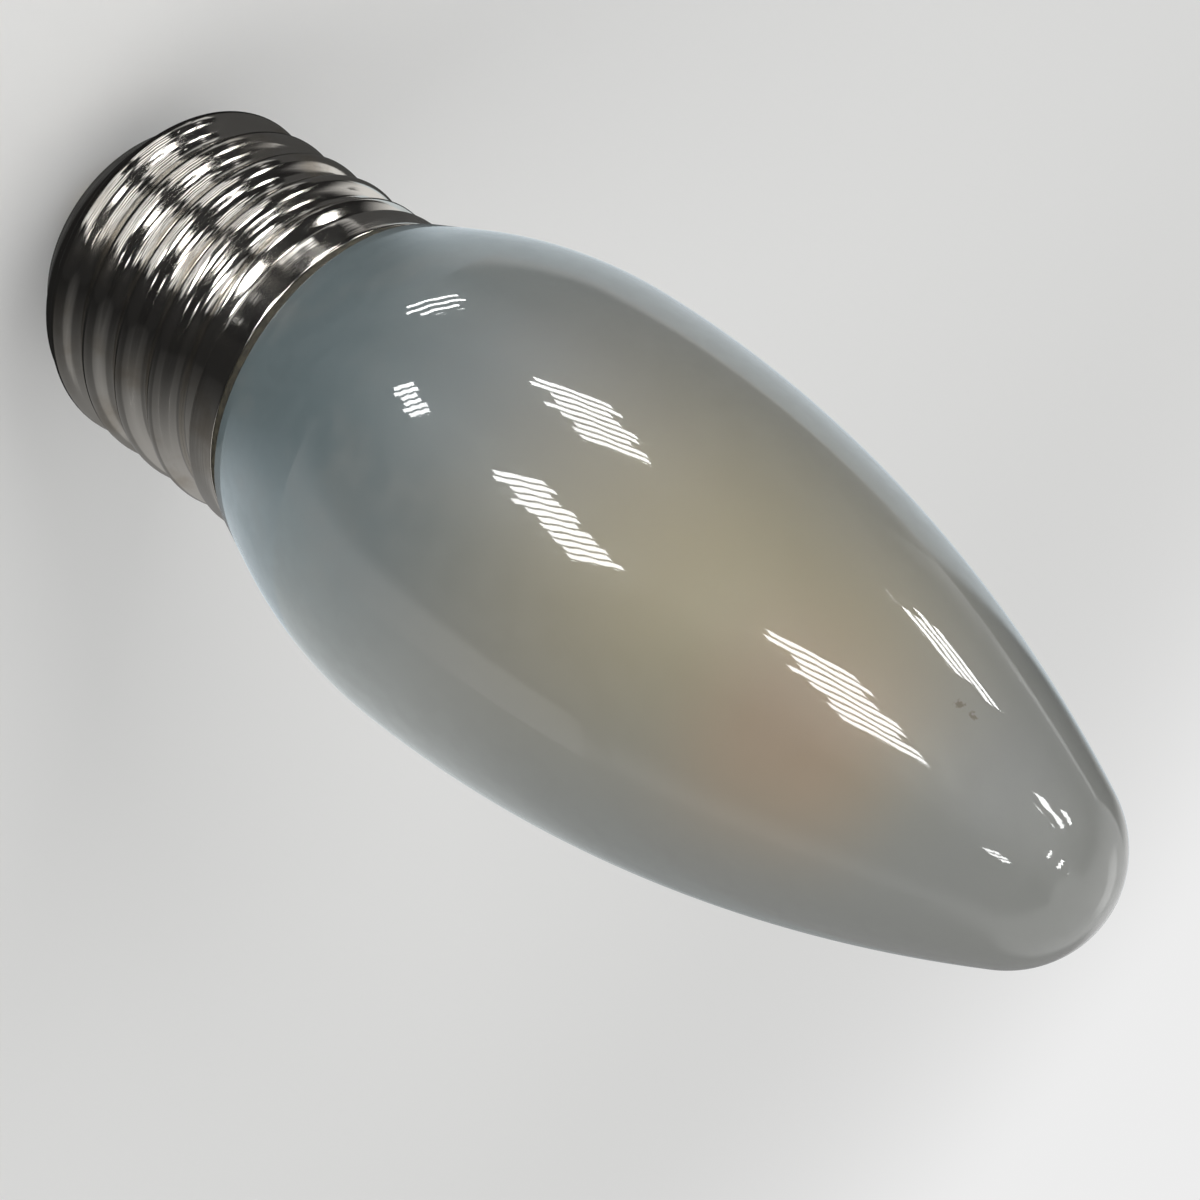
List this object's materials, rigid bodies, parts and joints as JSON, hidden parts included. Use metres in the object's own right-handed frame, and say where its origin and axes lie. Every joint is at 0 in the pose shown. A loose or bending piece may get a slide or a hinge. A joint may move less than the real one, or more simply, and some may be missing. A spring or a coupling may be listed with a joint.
{
  "type": "candle bulb",
  "caption": "Frosted candle-shaped glass lamp with LED filaments inside, on a nickel-plated screw cap with a rolled round thread and an insulated centre contact.",
  "frame": {"origin": "centre of the centre contact's lower face, the far end of the cap", "axes": "+Z along the lamp's axis, from the cap to the tip of the glass; +X towards the side of lead_wire_a"},
  "size_m": [0.035, 0.0352, 0.0924],
  "materials": {
    "frosted_glass": "clear outside, frosted inside",
    "nickel_plate": "bright nickel plate",
    "cement": "matt",
    "insulator_glass": "gloss",
    "contact_brass": "plated",
    "solder": "dull",
    "wire": "drawn",
    "stem_glass": "clear",
    "strip": "matt",
    "phosphor": "matt",
    "board": "matt",
    "chip_plastic": "matt",
    "can": "satin",
    "resistor_body": "lacquered"
  },
  "bodies": {
    "root": {"glass_bulb": "frosted_glass", "screw_shell": "nickel_plate", "basing_cement": "cement", "cap_insulator": "insulator_glass", "centre_contact": "contact_brass", "contact_solder": "solder", "live_wire": "wire", "neutral_wire": "wire", "lead_wire_a": "wire", "lead_wire_b": "wire", "top_support": "wire", "exhaust_tube": "stem_glass", "glass_stem": "stem_glass", "filament_strip_1": "strip", "filament_strip_2": "strip", "filament_strip_3": "strip", "filament_strip_4": "strip", "phosphor_coat_1": "phosphor", "phosphor_coat_2": "phosphor", "phosphor_coat_3": "phosphor", "phosphor_coat_4": "phosphor", "driver_board": "board", "bridge_rectifier": "chip_plastic", "driver_chip": "chip_plastic", "smoothing_capacitor": "can", "fuse_resistor": "resistor_body"}
  },
  "joints": []
}
